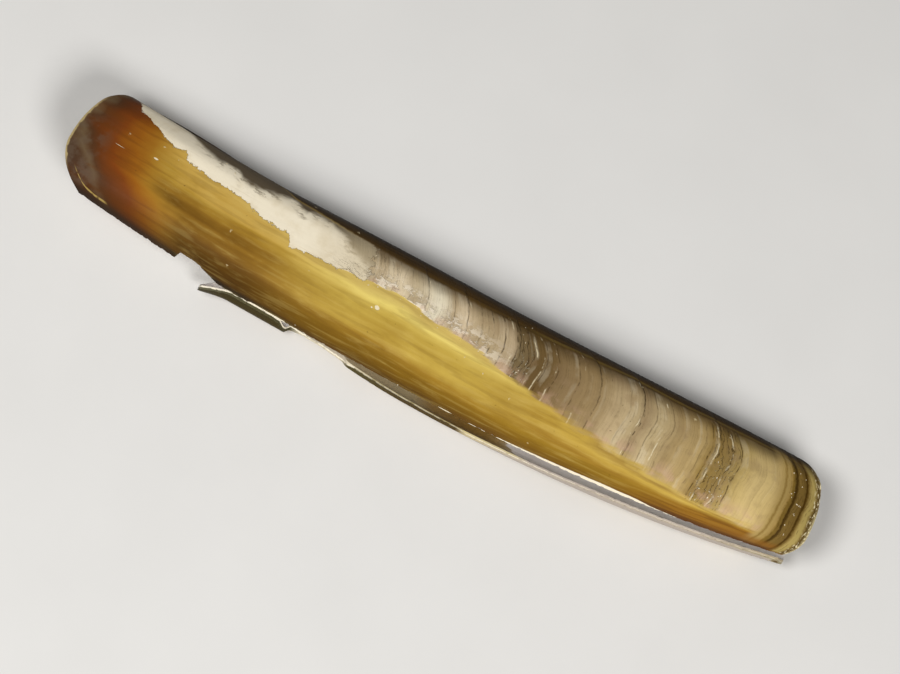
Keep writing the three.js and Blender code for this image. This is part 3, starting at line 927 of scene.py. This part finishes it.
# the white line between the two sides: its depth in the wall, and its strength
RIGHT_EDGE_LINE = [
    (-75, 0.3), (-42, 0.75), (-34, 0.6), (-29, 0.8), (-24, 0.8), (-22, 0.3), (-13, 0.3), (-11, 0.7),
    (-6, 0.8), (12, 0.8), (14, 0.5), (24, 0.5), (75, 0.5),
]
RIGHT_EDGE_WHITE = [
    (-75, 0), (-44, 0), (-42, 1), (-22, 0.9), (-13, 0.8), (-8, 0.35), (12, 0.3), (16, 0.7), (26, 0.7),
    (40, 0.4), (75, 0.3),
]
right_skin = outside_skin(
    "right valve skin", seed=9.0, patch_low=RIGHT_PATCH_LOW, patch_top=RIGHT_PATCH_TOP, patch_end=-24.0,
    strip_start=-34, worn_margin=RIGHT_WORN_MARGIN, worn_colour=(186, 174, 162),
    margin_painted_shade=[(-75, 0.4), (-50, 0.9), (-24, 0.9), (-20, 0.4), (75, 0.2)], marks=[(20, 100, 0.8, 0.5)],
)
right_inside = lime_finish(
    "right valve inside", (240, 236, 231), (216, 206, 200), roughness=0.28,
    near_margin=(RIGHT_BREAKS, RIGHT_NEAR_MARGIN, RIGHT_NEAR_REACH),
)
right_edge = margin_finish(
    "right valve edge", inner=RIGHT_EDGE_INNER, outer=RIGHT_EDGE_OUTER, line=RIGHT_EDGE_LINE,
    line_strength=RIGHT_EDGE_WHITE, seed=6.0,
)
right_sizes = {
    **left_sizes, "Side": -1.0, "Turn": REST_TILT, "Seed": 8.0,
    "Outside": right_skin, "Inside": right_inside, "Edge": right_edge,
}
right_tree = valve_tree("right valve", right_sizes, RIGHT_BREAKS, RIGHT_HIND_CUT, RIGHT_FLAP)
right_valve = grow("right_valve_wall", right_tree, right_sizes)
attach(right_valve, "root")
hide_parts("right_valve")

# Hinge ligament
# A short dark spindle of dried horny stuff, wrinkled and cracked lengthwise. It grew across the two hinge
# margins near the front end, and holds the halves at one gape.
ligament_material, place = start_material("dried ligament")
parts = node(place.tree, "ShaderNodeSeparateXYZ", place)
fibres = noise(point(parts * 0.25, parts.other("Y") * 4.0, parts.other("Z") * 4.0), 1.0, detail=4.0)
cracks = noise(place, 1.1, detail=4.0, roughness=0.65).step(0.56, 0.6)
colour = over((44, 28, 16), (92, 62, 34), fibres.step(0.4, 0.7))
colour = over(colour, (20, 13, 8), cracks * 0.7)
end_finish(ligament_material, colour, fibres * 0.3 + 0.4, fibres * 0.12 - cracks * 0.08)
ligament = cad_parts["hinge_ligament"]
ligament.data.materials.clear()
ligament.data.materials.append(ligament_material)

# Studio
# A plain pale floor and two large soft lights near the camera's line. The long lens looks down past the
# lower margin, and is rolled so that the shell runs from the upper left to the lower right.
LOOKING_DOWN = math.radians(19.3)
ROLL = math.radians(28.47)
DISTANCE = 0.9
LENS = 200.4
SENSOR_WIDTH = 36
NEAREST_SEEN = 0.01
TARGET = Vector((1.82, 1.03, 9.36)) * MM
back = Vector((0, -math.sin(LOOKING_DOWN), math.cos(LOOKING_DOWN)))
level, upright = Vector((1, 0, 0)), Vector((0, math.cos(LOOKING_DOWN), math.sin(LOOKING_DOWN)))
right = level * math.cos(ROLL) + upright * math.sin(ROLL)
top = upright * math.cos(ROLL) - level * math.sin(ROLL)

lens = bpy.data.cameras.new("camera")
lens.lens = LENS
lens.sensor_width = SENSOR_WIDTH
lens.clip_start = NEAREST_SEEN
camera = in_scene("camera", lens)
turned = Matrix((right, top, back)).transposed().to_4x4()
camera.matrix_world = Matrix.Translation(TARGET + back * DISTANCE) @ turned
bpy.context.scene.camera = camera

# place from the target to the right, up and back towards the camera, then size and power
LIGHTS = [("key", (-0.3, 0.08, 1.0), 0.4, 6.6), ("fill", (0.2, -0.42, 0.9), 0.4, 5.8)]
SKY = 0.08
for name, (across, above, behind), size, power in LIGHTS:
    light = bpy.data.lights.new(name, "AREA")
    light.shape = "DISK"
    light.size = size
    light.energy = power
    lamp = in_scene(name, light)
    lamp.location = TARGET + right * across + top * above + back * behind
    lamp.rotation_euler = (lamp.location - TARGET).to_track_quat("Z", "Y").to_euler()

world = bpy.data.worlds.new("studio")
world.use_nodes = True
put(world.node_tree.nodes["Background"], (1, 1, 1, 1), SKY)
bpy.context.scene.world = world
bpy.context.scene.view_settings.view_transform = "Standard"

# the floor's reach and how far it lies below the shell, in metres, and its faint grain's waves to a mm
FLOOR_REACH = 3.0
FLOOR_GAP = 0.00002
FLOOR_GRAIN = 0.04
floor_mesh = bpy.data.meshes.new("floor")
corners = [(-1, -1), (1, -1), (1, 1), (-1, 1)]
corners = [(x * FLOOR_REACH, y * FLOOR_REACH, -FLOOR_GAP) for x, y in corners]
floor_mesh.from_pydata(corners, [], [(0, 1, 2, 3)])
floor = in_scene("floor", floor_mesh)
floor_material, place = start_material("pale floor")
grain = noise(place, FLOOR_GRAIN, detail=4.0)
colour = over((226, 224, 220), (218, 216, 212), grain)
floor_mesh.materials.append(set_shader(floor_material, **{"Base Color": colour, "Roughness": 0.7}))
